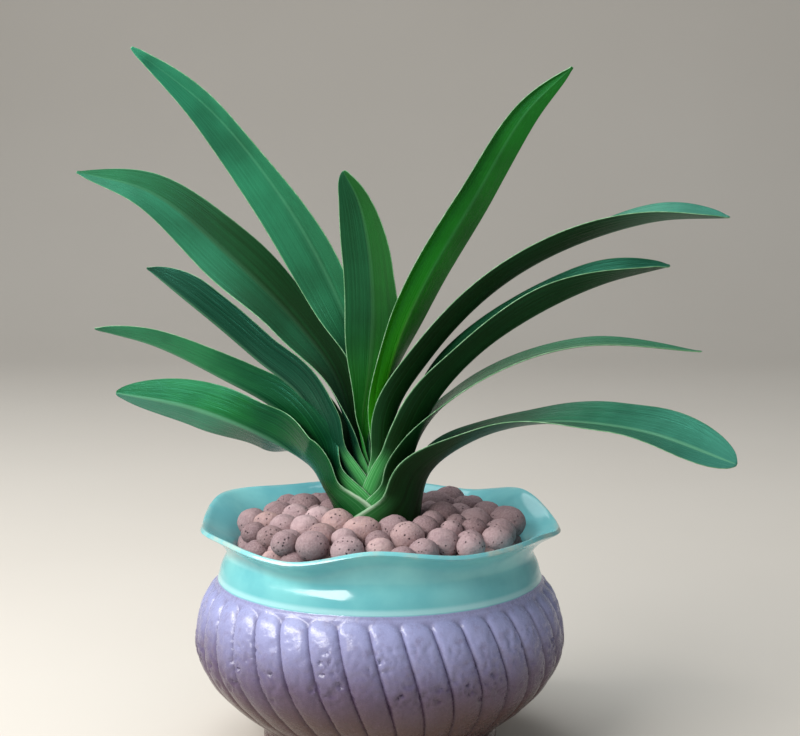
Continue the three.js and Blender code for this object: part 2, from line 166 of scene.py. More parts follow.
# ------------------------------------------------------------------ materials
class Look:
    """A material and short ways to add and join its nodes."""

    def __init__(self, name, roughness=0.5, specular=0.5):
        self.material = bpy.data.materials.new(name)
        self.material.use_nodes = True
        self.nodes = self.material.node_tree.nodes
        self.links = self.material.node_tree.links
        self.shader = self.nodes["Principled BSDF"]
        self.shader.inputs["Roughness"].default_value = roughness
        self.shader.inputs["Specular IOR Level"].default_value = specular
        self.place = self.nodes.new("ShaderNodeTexCoord").outputs["Object"]

    def put(self, value, socket):
        if hasattr(value, "is_linked"):
            self.links.new(value, socket)
        else:
            socket.default_value = value

    def math(self, kind, a, b=0.0, c=0.0):
        node = self.nodes.new("ShaderNodeMath")
        node.operation = kind
        for socket, value in zip(node.inputs, (a, b, c)):
            self.put(value, socket)
        return node.outputs[0]

    def between(self, value, low, high, out_low=0.0, out_high=1.0):
        """Eases from out_low to out_high while the value goes from low to high."""
        node = self.nodes.new("ShaderNodeMapRange")
        node.interpolation_type = "SMOOTHSTEP"
        self.put(value, node.inputs["Value"])
        ends = {"From Min": low, "From Max": high, "To Min": out_low, "To Max": out_high}
        for key, number in ends.items():
            self.put(number, node.inputs[key])
        return node.outputs[0]

    def mix(self, factor, a, b):
        """Colour a where the factor is 0, b where it is 1."""
        node = self.nodes.new("ShaderNodeMix")
        node.data_type = "RGBA"
        self.put(factor, node.inputs[0])
        for value, socket in ((a, node.inputs[6]), (b, node.inputs[7])):
            if isinstance(value, tuple) and len(value) == 3:
                value = (*value, 1)
            self.put(value, socket)
        return node.outputs[2]

    def noise(self, scale, detail=3.0, rough=0.5, place=None):
        node = self.nodes.new("ShaderNodeTexNoise")
        node.inputs["Scale"].default_value = scale
        node.inputs["Detail"].default_value = detail
        node.inputs["Roughness"].default_value = rough
        self.links.new(place or self.place, node.inputs["Vector"])
        return node.outputs["Fac"]

    def spots(self, scale):
        """Distance to the nearest of many scattered points."""
        node = self.nodes.new("ShaderNodeTexVoronoi")
        node.inputs["Scale"].default_value = scale
        self.links.new(self.place, node.inputs["Vector"])
        return node.outputs["Distance"]

    def attribute(self, name):
        node = self.nodes.new("ShaderNodeAttribute")
        node.attribute_name = name
        return node.outputs["Fac"]

    def stretched(self, source, scale, offset=(0, 0, 0)):
        node = self.nodes.new("ShaderNodeMapping")
        node.inputs["Scale"].default_value = scale
        node.inputs["Location"].default_value = offset
        self.links.new(source, node.inputs["Vector"])
        return node.outputs[0]

    def axis(self, source, which):
        node = self.nodes.new("ShaderNodeSeparateXYZ")
        self.links.new(source, node.inputs[0])
        return node.outputs[which]

    def bump(self, height, distance, strength, under=None):
        node = self.nodes.new("ShaderNodeBump")
        node.inputs["Distance"].default_value = distance
        node.inputs["Strength"].default_value = strength
        self.links.new(height, node.inputs["Height"])
        if under:
            self.links.new(under, node.inputs["Normal"])
        return node.outputs[0]

    def colour(self, value):
        self.put(value, self.shader.inputs["Base Color"])

    def roughness(self, value):
        self.put(value, self.shader.inputs["Roughness"])

    def normal(self, value):
        self.put(value, self.shader.inputs["Normal"])


def pot_look():
    look = Look("pot_glaze")
    height = look.axis(look.place, "Z")
    inside, groove, lip = (look.attribute(name) for name in ("inside", "groove", "lip"))
    cloud = look.noise(24, 4, 0.55)
    fine = look.noise(420, 3, 0.6)

    # teal: deeper low on the neck, a pale band along its lower edge, a thin sandy line along
    # the lip
    wander = look.math("MULTIPLY_ADD", cloud, 0.0012, -0.0006)
    edge, blur = look.math("ADD", height, wander), 0.0004
    upper = look.between(edge, GLAZE_EDGE * MM - blur, GLAZE_EDGE * MM + blur)
    teal_mask = look.math("MAXIMUM", upper, inside)
    teal = look.mix(look.between(cloud, 0.3, 0.7), (0.13, 0.44, 0.48), (0.21, 0.57, 0.58))
    teal = look.mix(look.between(height, 0.106, 0.122, 0.45, 0.0), teal, (0.11, 0.38, 0.42))
    pale_band = look.math("MULTIPLY", look.between(height, 0.1062, 0.1072),
                     look.between(height, 0.1082, 0.1108, 0.5, 0.0))
    pale_band = look.math("MULTIPLY", pale_band, look.math("SUBTRACT", 1.0, inside))
    teal = look.mix(pale_band, teal, (0.50, 0.76, 0.78))
    thin = look.math("MULTIPLY", lip, look.between(look.noise(60, 4, 0.6), 0.40, 0.66))
    teal = look.mix(look.math("MULTIPLY", thin, 0.60), teal, (0.56, 0.53, 0.42))

    # body: pale bluish lilac at the shoulder and purple-brown below, partly the glaze's colour
    # and partly painted light from above and painted shade below; painted shade darkens the
    # grooves
    drift = look.math("MULTIPLY_ADD", cloud, 0.022, -0.011)
    level = look.math("ADD", height, drift)
    low, high = look.between(level, 0.036, 0.070), look.between(level, 0.060, 0.100)
    body = look.mix(low, (0.082, 0.040, 0.036), (0.100, 0.070, 0.130))
    # painted highlight: the pale top colour also stands for light on the rib tops
    body = look.mix(high, body, (0.31, 0.32, 0.54))
    speck = look.between(look.noise(160, 4, 0.65), 0.50, 0.72)
    body = look.mix(look.math("MULTIPLY", speck, 0.28), body, (0.13, 0.080, 0.120))
    # painted shade in the grooves and along the shoulder line
    body = look.mix(look.math("MULTIPLY", groove, 0.40), body, (0.075, 0.050, 0.090))
    look.colour(look.mix(teal_mask, body, teal))

    body_rough = look.between(fine, 0.2, 0.8, 0.19, 0.33)
    rough = look.nodes.new("ShaderNodeMix")
    look.put(teal_mask, rough.inputs[0])
    look.put(body_rough, rough.inputs[2])
    look.put(look.between(cloud, 0.3, 0.7, 0.10, 0.17), rough.inputs[3])
    look.roughness(rough.outputs[0])

    soft = look.bump(look.noise(70, 2, 0.5), 0.0006, 0.35)
    grain = look.math("MULTIPLY", fine, look.math("SUBTRACT", 1.0, teal_mask))
    look.normal(look.bump(grain, 0.0004, 0.5, soft))
    return look.material


def pebble_look():
    look = Look("clay_pebble", roughness=0.85, specular=0.3)
    tone_and_light, warm = look.attribute("tone_and_light"), look.attribute("warm")
    blotch = look.noise(150, 4, 0.6)
    fine = look.noise(900, 4, 0.7)
    # each pebble's own tone, multiplied by painted light from the front left
    clay = look.mix(tone_and_light, (0.13, 0.072, 0.074), (0.60, 0.425, 0.435))
    clay = look.mix(look.math("MULTIPLY", warm, 0.45), clay, (0.40, 0.22, 0.17))
    clay = look.mix(look.between(blotch, 0.42, 0.70, 0.0, 0.55), clay, (0.20, 0.125, 0.14))
    clay = look.mix(look.between(fine, 0.35, 0.75, 0.0, 0.35), clay, (0.54, 0.41, 0.42))
    # painted shade: the pits are coloured near black
    holes = look.between(look.spots(330), 0.10, 0.24, 1.0, 0.0)
    where = look.between(look.noise(85, 2), 0.45, 0.55)
    pits = look.math("MULTIPLY", holes, where)
    look.colour(look.mix(look.math("MULTIPLY", pits, 0.85), clay, (0.035, 0.02, 0.025)))
    rough_coat = look.bump(look.noise(480, 5, 0.65), 0.0012, 0.7)
    look.normal(look.bump(look.math("SUBTRACT", 1.0, pits), 0.0012, 0.8, rough_coat))
    return look.material


def soil_look():
    look = Look("potting_mix", roughness=0.95, specular=0.2)
    grain = look.noise(320, 6, 0.7)
    earth = look.mix(look.between(grain, 0.35, 0.7), (0.02, 0.012, 0.008), (0.13, 0.08, 0.05))
    fibre = look.between(look.spots(260), 0.0, 0.12, 1.0, 0.0)
    look.colour(look.mix(look.math("MULTIPLY", fibre, 0.6), earth, (0.30, 0.21, 0.13)))
    look.normal(look.bump(grain, 0.002, 0.9))
    return look.material


def root_look():
    look = Look("stem_and_roots", roughness=0.6, specular=0.4)
    streak = look.noise(130, 4, 0.6)
    pale = look.between(streak, 0.3, 0.7)
    look.colour(look.mix(pale, (0.50, 0.42, 0.25), (0.72, 0.66, 0.46)))
    look.normal(look.bump(streak, 0.0006, 0.5))
    return look.material


def leaf_look(name, dark, warm, cool_and_sheen, roughness, specular, stripe):
    """Leaf skin: green from warm to teal with painted light, shade and sheen, veins, a midrib,
    a margin and a pale sheath.
    """
    look = Look(name, specular=specular)
    look.shader.inputs["Specular Tint"].default_value = (0.14, 0.72, 0.52, 1)
    uv = look.nodes.new("ShaderNodeUVMap")
    uv.uv_map = "blade"
    across = look.axis(uv.outputs[0], "X")
    middle = look.math("ABSOLUTE", look.math("MULTIPLY_ADD", across, 2.0, -1.0))
    veins = look.noise(1.0, 2, 0.55, look.stretched(uv.outputs[0], (95, 2.2, 1)))
    bands = look.noise(1.0, 3, 0.5, look.stretched(uv.outputs[0], (16, 1.4, 1), (3, 7, 0)))
    cloud = look.noise(32, 3, 0.5)

    # painted sheen: the teal end of the lit green partly stands for sky reflection
    light = look.mix(look.attribute("teal"), warm, cool_and_sheen)
    tone_and_light = look.attribute("tone_and_light")
    streak_light = look.math("MULTIPLY_ADD", tone_and_light, 0.75, 0.25)
    # painted light and shade: the tone runs from the dark green to the lit one
    green = look.mix(tone_and_light, dark, light)
    # streaks: veins and bands, partly real and partly painted sheen, stronger where the painted
    # light is higher
    for grain, low, high in ((bands, 0.40, 0.70), (veins, 0.45, 0.75)):
        streak = look.math("MULTIPLY", look.between(grain, low, high, 0.0, 0.34), streak_light)
        green = look.mix(streak, green, light)
    green = look.mix(look.between(cloud, 0.35, 0.75, 0.0, 0.40), green, dark)
    rib = look.math("MULTIPLY", look.between(middle, 0.02, 0.13, 1.0, 0.0),
                    look.math("MULTIPLY_ADD", tone_and_light, 0.5, 0.5))
    green = look.mix(look.math("MULTIPLY", rib, stripe), green, (0.13, 0.34, 0.19))
    through = look.mix(rib, (0.035, 0.33, 0.006), (0.12, 0.44, 0.02))
    green = look.mix(look.attribute("glow"), green, through)
    foot = look.mix(look.between(veins, 0.35, 0.7), (0.035, 0.24, 0.05), (0.12, 0.42, 0.14))
    green = look.mix(look.attribute("sheath"), green, foot)
    green = look.mix(look.attribute("membrane"), green, (0.50, 0.62, 0.46))
    rim = look.between(middle, 0.968, 0.99)
    look.colour(look.mix(look.math("MULTIPLY", rim, 0.45), green, (0.18, 0.38, 0.20)))

    look.roughness(look.between(veins, 0.3, 0.7, roughness, roughness + 0.12))
    ridge = look.bump(veins, 0.0005, 0.45)
    wide = look.bump(bands, 0.0012, 0.35, ridge)
    look.normal(look.bump(look.noise(900, 2), 0.0001, 0.3, wide))
    return look.material


def margin_look():
    look = Look("leaf_margin", roughness=0.45, specular=0.3)
    streak = look.between(look.noise(260, 3, 0.5), 0.35, 0.7)
    look.colour(look.mix(streak, (0.11, 0.28, 0.12), (0.27, 0.46, 0.27)))
    return look.material


# ------------------------------------------------------------------ pot
POT_OUTSIDE = [
    (68, 0), (71, 1.5), (71.5, 9), (69.5, 12), (78, 20), (93.5, 33), (106, 48),
    (112.3, 63), (112, 78), (108.5, 91), (104, 99.5), (100, 104), (98.6, 106.5),
    (96.5, 114), (93, 123), (97, 132.5), (103.5, 137.5), (107, 140),
]
POT_INSIDE = [
    (105.6, 142), (100.5, 139.5), (91.5, 131.5), (87, 121), (91, 108),
    (104, 86), (105.5, 64), (93, 38), (66, 15), (58, FLOOR),
]
# the rim waves unevenly: radius and height of its lip every 30 degrees from +X
RIM_RADIUS = [110, 105, 107, 106, 107, 115, 109, 106, 107, 104, 107, 106]
RIM_HEIGHT = [134.5, 146.5, 138.5, 142, 142, 144, 135.5, 137.5, 134.5, 143, 138.5, 139]


def around(values, angle):
    x = ((angle / RAD + 720) % 360) / 30
    k = int(x)
    a, b = values[k % 12], values[(k + 1) % 12]
    return a + (b - a) * smooth(0, 1, x - k)


def polar(radius, angle, z):
    return Vector((radius * math.cos(angle), radius * math.sin(angle), z))


def rib_relief(turn, z):
    """How full the rib is here, 0 in the groove to 1 on the crest."""
    part = turn - math.floor(turn)
    across = (part - RIB_CREST) / (RIB_CREST if part < RIB_CREST else 1 - RIB_CREST)
    head = clamp(1 - (BODY_TOP - 0.6 - z) / 6.5, 0, 1.4)
    foot = clamp(1 - (z - BODY_FOOT) / 14, 0, 1.4)
    return max(0, 1 - abs(across) ** 2.4 - head ** 2 - foot ** 2) ** 0.5


def hammered(place):
    """Depth of the small dents in a belt under the shoulder, 0 to about 1."""
    belt = smooth(46, 60, place.z) * (1 - smooth(86, 98, place.z))
    patch = smooth(-0.15, 0.3, noise.noise(place * 0.055 + Vector((7, 3, 1))))
    large = smooth(0.12, 0.40, noise.noise(place * 0.26))
    small = smooth(0.15, 0.42, noise.noise(place * 0.48 + Vector((9, 4, 2))))
    return belt * (0.4 + 0.6 * patch) * (large + 0.8 * small)


def ribbed(radius, angle, column, z):
    """The body's radius with its ribs and dents, and how deep in a groove this is."""
    full = rib_relief(column / (2 * math.pi) * RIBS, z)
    on = smooth(BODY_FOOT - 2, BODY_FOOT + 14, z) * (1 - smooth(99, BODY_TOP + 1, z))
    place = polar(radius, angle, z)
    uneven = DENT_DEPTH * hammered(place) + SWELL * noise.noise(place * 0.11)
    return radius - on * (RIB_DEPTH * (1 - full) + uneven), on * smooth(0.62, 0.12, full)


def pot_section(bm, inside, lip):
    """Half of the wall's section, from the foot over the lip to the edge of the floor."""
    outer = curve_points(
        [(r, 0, z) for r, z in POT_OUTSIDE[1:] + POT_INSIDE[:1]],
        lambda place: 1.45 if BODY_FOOT < place.z < BODY_TOP else 1.9)[:-1]
    inner = curve_points(
        [(r, 0, z) for r, z in POT_OUTSIDE[-1:] + POT_INSIDE],
        lambda place: 2 if place.z > 128 else 5)[2:]
    foot, lip_line = Vector((POT_OUTSIDE[0][0], 0, 0)), Vector((106.6, 0, 141.2))
    chain = [bm.verts.new(place) for place in (foot, *outer, *inner)]
    for i, v in enumerate(chain):
        v[inside] = 1.0 if i > len(outer) else 0.0
        v[lip] = smooth(3.6, 0.4, (v.co - lip_line).length)
    for a, b in zip(chain, chain[1:]):
        bm.edges.new((a, b))


def shape_wall(bm, inside, groove):
    """Turns each column with the twist of the ribs, cuts the grooves and waves the rim."""
    for v in bm.verts:
        radius, z, column = math.hypot(v.co.x, v.co.y), v.co.z, math.atan2(v.co.y, v.co.x)
        down = 0 if v[inside] else clamp((BODY_TOP - z) / (BODY_TOP - BODY_FOOT), 0, 1)
        angle = column + RIB_START + RIB_TWIST * down
        lift = smooth(120, LIP_Z, z)
        radius += lift * (around(RIM_RADIUS, angle) - LIP_R)
        if not v[inside]:
            if BODY_FOOT - 2 < z < BODY_TOP + 1:
                radius, v[groove] = ribbed(radius, angle, column, z)
            line = 1 - smooth(0, 0.9, abs(z - SHOULDER_LINE))
            radius -= LINE_DEPTH * line
            # the shoulder line also gets the grooves' painted shade
            v[groove] = max(v[groove], 0.6 * line)
        v.co = polar(radius, angle, z + lift * (around(RIM_HEIGHT, angle) - LIP_Z))


def floor_with_drains(bm, inside):
    """Fills the underside and the floor, and joins them by the walls of the drain holes."""
    loops = {}
    for height in (0, FLOOR):
        ring = [e for e in bm.edges
                if e.is_boundary and all(abs(v.co.z - height) < 0.01 for v in e.verts)]
        wells = []
        for k in range(DRAIN_HOLES):
            middle = polar(DRAIN_RING, 90 * RAD + k * 360 / DRAIN_HOLES * RAD, height)
            made = bmesh.ops.create_circle(
                bm, segments=36, radius=DRAIN_R, matrix=Matrix.Translation(middle))
            for v in made["verts"]:
                v[inside] = 1.0 if height else 0.0
            wells.append(list(dict.fromkeys(e for v in made["verts"] for e in v.link_edges)))
        bmesh.ops.triangle_fill(bm, use_beauty=True, edges=ring + [e for w in wells for e in w])
        loops[height] = wells
    for low, high in zip(loops[0], loops[FLOOR]):
        bmesh.ops.bridge_loops(bm, edges=low + high)


def in_order(bm):
    """Orders edges and faces by their vertices, so that every run makes the same mesh."""
    bm.verts.index_update()
    for parts in (bm.edges, bm.faces):
        by_verts = sorted(parts, key=lambda part: sorted(v.index for v in part.verts))
        rank = {part: k for k, part in enumerate(by_verts)}
        parts.sort(key=rank.get)


def make_pot():
    bm = bmesh.new()
    inside, groove, lip = (
        bm.verts.layers.float.new(name) for name in ("inside", "groove", "lip"))
    pot_section(bm, inside, lip)
    bmesh.ops.spin(
        bm, geom=bm.verts[:] + bm.edges[:], cent=(0, 0, 0), axis=(0, 0, 1),
        angle=2 * math.pi, steps=POT_COLUMNS, use_merge=True, use_duplicate=False)
    bmesh.ops.remove_doubles(bm, verts=bm.verts, dist=0.001)
    in_order(bm)
    shape_wall(bm, inside, groove)
    floor_with_drains(bm, inside)
    bmesh.ops.recalc_face_normals(bm, faces=bm.faces)
    in_order(bm)
    return finish_piece("pot_body", bm, [pot_look()], "pot", sharp=50 * RAD)


# ------------------------------------------------------------------ pebbles
def bed_top(r):
    return BED_Z + BED_RISE * (1 - (r / BED_R) ** 2)


def spread(k, count, reach, start=0.0):
    """Place of pebble k of count on a spiral that covers the bed evenly."""
    a, d = k * GOLDEN_TURN * RAD + start, reach * math.sqrt((k + 0.5) / count)
    return d * math.cos(a), d * math.sin(a)


def settle(pebbles, reach, fixed=None):
    """Pushes round pebbles apart, inside the pot's neck and outside the sheaths."""
    for _ in range(SETTLING):
        for i, p in enumerate(pebbles):
            for q in pebbles[i + 1:]:
                x, y = q["x"] - p["x"], q["y"] - p["y"]
                apart = math.hypot(x, y)
                push = 0.3 * (p["r"] + q["r"] - apart) / apart
                if push > 0:
                    p["x"] -= push * x
                    p["y"] -= push * y
                    q["x"] += push * x
                    q["y"] += push * y
        if fixed:
            pebbles[0].update(x=fixed["x"], y=fixed["y"])
        for p in pebbles:
            along = (p["x"] - STEM_X) * SIDE.x + p["y"] * SIDE.y
            ahead = ((p["x"] - STEM_X) * FRONT.x + p["y"] * FRONT.y) / SHEATH_FLAT
            out = max(1, (SHEATHS_OUT + 1.2 * p["r"]) / math.hypot(along, ahead))
            p["x"] = STEM_X + out * (p["x"] - STEM_X)
            p["y"] *= out
            held = min(1, (reach - p["r"]) / math.hypot(p["x"], p["y"]))
            p["x"] *= held
            p["y"] *= held
    return pebbles


def upper_pebbles():
    """The pebbles in sight, the large one at the front first."""
    draw = seeded(48611)
    placed = [dict(FRONT_PEBBLE)]
    for k in range(PEBBLES):
        x, y = spread(k, PEBBLES, BED_R - 6)
        x += 5 * (next(draw) - 0.5)
        y += 5 * (next(draw) - 0.5)
        placed.append(dict(
            x=x, y=y, r=7.2 + 3.8 * next(draw) ** 1.3, stretch=1 + 0.16 * next(draw),
            turn=next(draw) * math.pi, lift=4 * next(draw) - 2))
    for p in settle(placed, BED_R + 2.5, FRONT_PEBBLE):
        p["z"] = bed_top(math.hypot(p["x"], p["y"])) + p["lift"]
    return placed


def lower_pebbles():
    """A second layer that shows through the gaps of the upper one."""
    draw = seeded(7019)
    placed = []
    for k in range(LOWER_PEBBLES):
        x, y = spread(k, LOWER_PEBBLES, BED_R - 4, start=0.7)
        placed.append(dict(
            x=x, y=y, r=7.4 + 2.4 * next(draw), stretch=1 + 0.1 * next(draw),
            turn=next(draw) * math.pi, lift=3 * next(draw)))
    for p in settle(placed, BED_R + 1):
        p["z"] = bed_top(math.hypot(p["x"], p["y"])) - 12 + p["lift"]
    return placed


def pebble_point(p, n, shift):
    """Point of a lumpy, slightly long pebble in the direction n from its middle."""
    lump = 1 + 0.055 * noise.noise(n * 1.5 + Vector((shift, 0, 0))) \
        + 0.030 * noise.noise(n * 4.2 + Vector((0, shift, 0)))
    at = n * p["r"] * lump
    at.x *= p["stretch"]
    at.z *= 0.94
    return Vector((p["x"], p["y"], p["z"])) + Matrix.Rotation(p["turn"], 3, "Z") @ at


def make_pebbles():
    bm = bmesh.new()
    tone_and_light, warm = (bm.verts.layers.float.new(name) for name in ("tone_and_light", "warm"))
    draw = seeded(90217)
    for layer, detail in ((upper_pebbles(), 3), (lower_pebbles(), 2)):
        for p in layer:
            ball = bmesh.ops.create_icosphere(bm, subdivisions=detail, radius=1)["verts"]
            shade, heat, shift = next(draw), next(draw), 60 * next(draw)
            # painted light: paler at the front left, painted shade behind and to the right
            painted_light = smooth(75, -45, p["y"]) * (1 - 0.5 * smooth(0, 55, p["x"]))
            for v in ball:
                v.co = pebble_point(p, v.co.normalized(), shift)
                v[tone_and_light] = 0.15 + 0.85 * shade * painted_light
                v[warm] = smooth(0.78, 0.98, heat)
    # the bed that the pebbles sit in, out of sight below them
    core = bmesh.ops.create_cone(
        bm, cap_ends=True, segments=48, radius1=86.5, radius2=84,
        depth=10, matrix=Matrix.Translation((0, 0, 118)))["verts"]
    # painted shade: the bed takes the darkest clay tone, for where it shows between the pebbles
    for v in core:
        v[tone_and_light] = 0.1
    return finish_piece("pebble_layer", bm, [pebble_look()], "clay_pebbles")


# ------------------------------------------------------------------ leaves
# side: -1 left, +1 right; rank: place in the sheath from the inside out;
# clasp: height at which the two margins leave the front of the sheath;
# width: half of the blade's; wrap: degrees that each half bends round at the neck;
# taper: where the blade starts to narrow; tip: how blunt (low) or long (high) its end is;
# spine: midrib of the blade; roll and fold: degrees at set parts of the blade;
# lip: degrees that the near margin turns back;
# near, far: brightness of the front and the back half, from foot to tip, partly the leaf's own
# green and partly painted light and shade;
# teal: how bluish the green is at the foot and at the tip, partly its own hue and partly
# painted sky sheen; far_teal: added on the far half;
# glow: light that comes through the blade's foot
LEAVES = {
    "leaf_centre": dict(
        side=-1, rank=0, clasp=177, width=17, taper=0.68, tip=0.54,
        spine=[(-11, 1, 196), (-6, 1, 235), (-4, -2, 272),
               (-6, -5, 306), (-12, -6, 334), (-21, -8, 352)],
        roll=(-43, -66, -85, -94), fold=(7, 31),
        near=(0.4, 0.3, 0.3, 0.3), far=(0.5, 0.25, 0.25, 0.3),
        teal=(0.5, 0.75), far_teal=-0.45, glow=0.4),
    "leaf_left_1": dict(
        side=-1, rank=1, clasp=176, width=20, taper=0.47, tip=0.72,
        spine=[(-10, 12, 212), (-17, 21, 249), (-34, 30, 290),
               (-63, 40, 338), (-102, 47, 385), (-153, 52, 425)],
        roll=(-21, -93, -102, -73), fold=(25, 42),
        near=(0.1, 0.4, 0.8, 0.9), far=(0.1, 0.4, 0.8, 0.9), teal=(0.7, 1)),
    "leaf_right_1": dict(
        side=1, rank=2, clasp=175, width=15.3, taper=0.45, tip=0.72, lip=-60,
        spine=[(2, -5, 207), (10, -10, 246), (27, -15, 286),
               (55, -20, 335), (85, -27, 386), (111, -34, 412)],
        roll=(17, 41, 44, 72), fold=(15, 7),
        near=(1, 1, 0.8, 0.6), far=(1, 1, 0.9, 0.7), teal=(0, 0.15), glow=1),
    "leaf_left_2": dict(
        side=-1, rank=3, clasp=174.5, width=20, taper=0.39, tip=0.77,
        spine=[(-18, 8, 194), (-28, 15, 227), (-51, 25, 257),
               (-90, 38, 295), (-141, 54, 335), (-191, 68, 348)],
        roll=(-14, -28, -72, -55), fold=(0, 10),
        near=(0.05, 0.25, 0.45, 0.6), far=(0.05, 0.06, 0.10, 0.5),
        teal=(0.75, 1), far_teal=-0.3),
    "leaf_right_2": dict(
        side=1, rank=4, clasp=174, width=17.4, taper=0.75, tip=0.72,
        spine=[(8, -5, 202), (31, -13, 242), (66, -26, 281),
               (105, -41, 307), (156, -56, 325), (198, -64, 328)],
        roll=(4, 2, 3, -17), fold=(26, 28),
        near=(0.1, 0.0, 0.0, 0.3), far=(0.1, 0.1, 0.3, 0.7), teal=(0.2, 1)),
    "leaf_left_3": dict(
        side=-1, rank=5, clasp=173.5, width=19.2, wrap=82, taper=0.75, tip=0.86,
        spine=[(-33, 10, 191), (-50, 15, 215), (-75, 24, 234),
               (-99, 34, 253), (-123, 44, 271), (-146, 52, 289)],
        roll=(22, 37, 45, 50), fold=(42, 31),
        near=(0.05, 0.0, 0.0, 0.1), far=(0.05, 0.0, 0.0, 0.1), teal=(0.6, 0.9)),
    "leaf_right_3": dict(
        side=1, rank=6, clasp=173, width=19.6, wrap=78, taper=0.57, tip=0.72,
        spine=[(19, -8, 182), (34, -15, 215), (58, -24, 244),
               (89, -36, 268), (127, -48, 288), (166, -56, 300)],
        roll=(-8, -17, -8, -32), fold=(43, 48),
        near=(0.05, 0.0, 0.0, 0.1), far=(0.2, 0.2, 0.2, 0.25), teal=(0.3, 0.8)),
    "leaf_left_4": dict(
        side=-1, rank=7, clasp=158, width=17.4, wrap=80, taper=0.46, tip=0.72,
        spine=[(-41, 14, 180), (-64, 22, 204), (-100, 32, 223),
               (-140, 42, 241), (-179, 50, 251)],
        roll=(30, 50, 38, 41), fold=(39, 20),
        near=(0.0, 0.12, 0.5, 0.5), far=(0.0, 0.0, 0.1, 0.3), teal=(0.1, 0.6)),
    "leaf_right_4": dict(
        side=1, rank=8, clasp=156.5, width=14.9, wrap=63, taper=0.38, tip=0.86,
        spine=[(20, -10, 182), (34, -16, 209), (68, -25, 235),
               (119, -38, 252), (186, -50, 250)],
        roll=(-12, -13, -8, -7), fold=(1, 12),
        near=(0.05, 0.35, 0.6, 0.45), far=(0.1, 0.5, 0.65, 0.45), teal=(0.4, 0.6)),
    "leaf_left_5": dict(
        side=-1, rank=9, clasp=151, width=19.8, wrap=72, taper=0.46, tip=0.59,
        spine=[(-39, 12, 167), (-46, 16, 173), (-75, 22, 189),
               (-118, 31, 204), (-165, 40, 212)],
        roll=(20, 62, 80, 83), fold=(18, 28),
        near=(0.1, 0.12, 0.5, 0.4), far=(0.1, 0.15, 0.7, 0.8), teal=(0.0, 0.45), far_teal=0.45),
    "leaf_right_5": dict(
        side=1, rank=10, clasp=149, width=19, wrap=66, taper=0.75, tip=0.5,
        spine=[(29, -15, 171), (56, -26, 194), (94, -43, 207),
               (150, -68, 206), (201, -88, 191)],
        roll=(-3, -1, -19, -44), fold=(13, 21),
        near=(0.0, 0.12, 0.35, 0.65), far=(0.0, 0.25, 0.35, 0.65), teal=(0.3, 1)),
}


class Path:
    """The leaf's midrib, read by arc length."""

    def __init__(self, points):
        self.points = curve_points(points, lambda place: 0.8)
        self.at = [0.0]
        for a, b in zip(self.points, self.points[1:]):
            self.at.append(self.at[-1] + (b - a).length)
        self.length = self.at[-1]

    def point(self, s):
        s = clamp(s, 0, self.length)
        low, high = 0, len(self.at) - 1
        while high - low > 1:
            mid = (low + high) // 2
            low, high = (mid, high) if self.at[mid] <= s else (low, mid)
        t = (s - self.at[low]) / (self.at[high] - self.at[low])
        return self.points[low].lerp(self.points[high], t)


def leaf_section(leaf, neck, s, x):
    """Half width, bend, fold, turn of the lip, and depth of the leaf's cross-section.

    s is the arc length from the foot; x is 0 at the neck and 1 at the tip.
    """
    radius = SHEATH_R + SHEATH_STEP * leaf["rank"]
    wrap = leaf.get("wrap", 72) * RAD
    if s < neck:
        bend = lines(s, [(0, 144 * RAD), (neck - NECK, 90 * RAD), (neck, wrap)])
        return radius * bend, bend, 0.0, 0.0, SHEATH_FLAT
    bend = wrap + (8 * RAD - wrap) * smooth(0, 0.3, x)
    half = radius * wrap + (leaf["width"] - radius * wrap) * smooth(0, 0.45, x)
    if x > leaf["taper"]:
        narrowed = (x - leaf["taper"]) / (1 - leaf["taper"])
        half *= max(1 - narrowed ** 2, 0) ** leaf["tip"]
    half = max(half, 0.9)
    middle_fold, tip_fold = leaf["fold"]
    fold = knots(x, [(0, 0), (0.3, middle_fold), (1, tip_fold)]) * RAD
    fold *= smooth(0, 5, half)        # the tip opens out flat
    lip = leaf.get("lip", 0) * RAD * smooth(0, 0.3, x)
    flat = SHEATH_FLAT + (1 - SHEATH_FLAT) * smooth(0, 0.15, x)
    return half, bend, fold, lip, flat


def leaf_place(leaf, path, neck, s, x, u, way):
    """Point on the middle of the leaf; u is 0 on the midrib and 1 on the margin."""
    half, bend, fold, lip, flat = leaf_section(leaf, neck, s, x)
    tangent = (path.point(s + 1) - path.point(s - 1)).normalized()
    front = (FRONT - tangent * FRONT.dot(tangent)).normalized()
    inner = tangent.cross(front) * -leaf["side"]
    roll = knots(x, list(zip((0, 0.12, 0.35, 0.65, 1), (0, *leaf["roll"])))) * RAD
    across = front * math.cos(roll) + inner * math.sin(roll)
    up = inner * math.cos(roll) - front * math.sin(roll)

    bent = min(u, LIP_START) if lip and way > 0 else u
    slope = fold + bend * bent
    out = half * (math.sin(slope) - math.sin(fold)) / bend
    rise = half * (math.cos(fold) - math.cos(slope)) / bend
    out += (u - bent) * half * math.cos(slope + lip)
    rise += (u - bent) * half * math.sin(slope + lip)
    return path.point(s) + across * way * out * flat + up * rise


def leaf_thickness(x, u):
    """Thinner towards the margin and the tip, thicker along the midrib."""
    thick = (LEAF_THICK + (LEAF_EDGE - LEAF_THICK) * u * u) * (1 - 0.3 * smooth(0.6, 1, x))
    return max(thick, LEAF_LEAST) + MIDRIB_THICK * (1 - smooth(0, 0.12, u))


